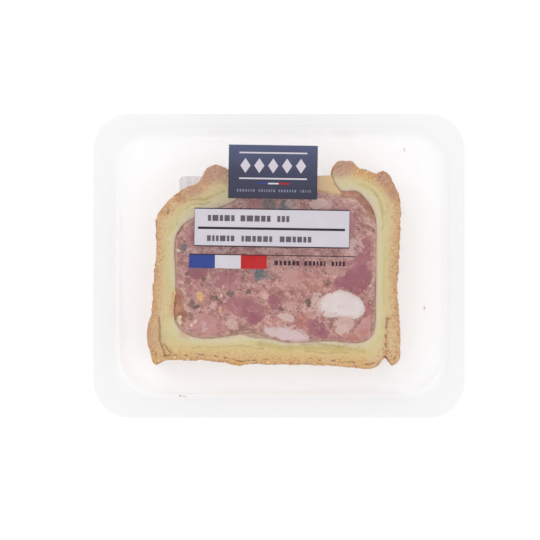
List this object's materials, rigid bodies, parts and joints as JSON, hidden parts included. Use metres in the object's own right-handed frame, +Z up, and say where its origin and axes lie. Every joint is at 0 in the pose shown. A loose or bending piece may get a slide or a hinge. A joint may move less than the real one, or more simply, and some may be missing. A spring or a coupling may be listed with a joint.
{
  "type": "pate en croute",
  "caption": "Slice of pastry-cased pate with jelly and chunks of meat, lying flat in a sealed clear tray with a lid film and a printed label.",
  "frame": {"origin": "under the middle of the tray, on the surface that it stands on", "axes": "+Z up, +X along the tray's longer side to the reader's right, +Y towards the top edge of the label"},
  "size_m": [0.145, 0.1186, 0.0258],
  "materials": {
    "paper": "matt paper",
    "blue_print": "satin print",
    "red_print": "satin print",
    "white_print": "satin print",
    "film": "clear plastic film, glossy",
    "crust": "baked pastry, matt and crumbly",
    "forcemeat": "cut meat filling, moist",
    "ham": "cooked meat, moist",
    "jelly": "amber jelly, glossy and translucent",
    "morel": "dark mushroom, moist",
    "navy_print": "satin print",
    "nut": "nut, matt",
    "poultry": "pale cooked meat, moist",
    "clear_plastic": "clear formed plastic, glossy"
  },
  "bodies": {
    "root": {"back_label": "paper", "bar_blue": "blue_print", "bar_red": "red_print", "bar_white": "white_print", "clear_label": "film", "crust": "crust", "forcemeat": "forcemeat", "ham_bottom_left": "ham", "ham_bottom_right": "ham", "ham_centre": "ham", "ham_centre_right": "ham", "ham_corner": "ham", "ham_large": "ham", "ham_middle": "ham", "ham_middle_left": "ham", "ham_right": "ham", "ham_top": "ham", "ham_under_bar": "ham", "ham_upper_left": "ham", "ham_upper_right": "ham", "jelly_corner": "jelly", "jelly_left": "jelly", "jelly_top": "jelly", "lid_film": "film", "morel_left": "morel", "morel_low_left": "morel", "morel_middle": "morel", "morel_right": "morel", "morel_row": "morel", "morel_upper": "morel", "name_panel": "navy_print", "nut_left": "nut", "nut_low": "nut", "poultry_bottom": "poultry", "poultry_large": "poultry", "poultry_pale": "poultry", "poultry_small": "poultry", "poultry_upper": "poultry", "title_panel": "white_print", "tray": "clear_plastic"}
  },
  "joints": []
}
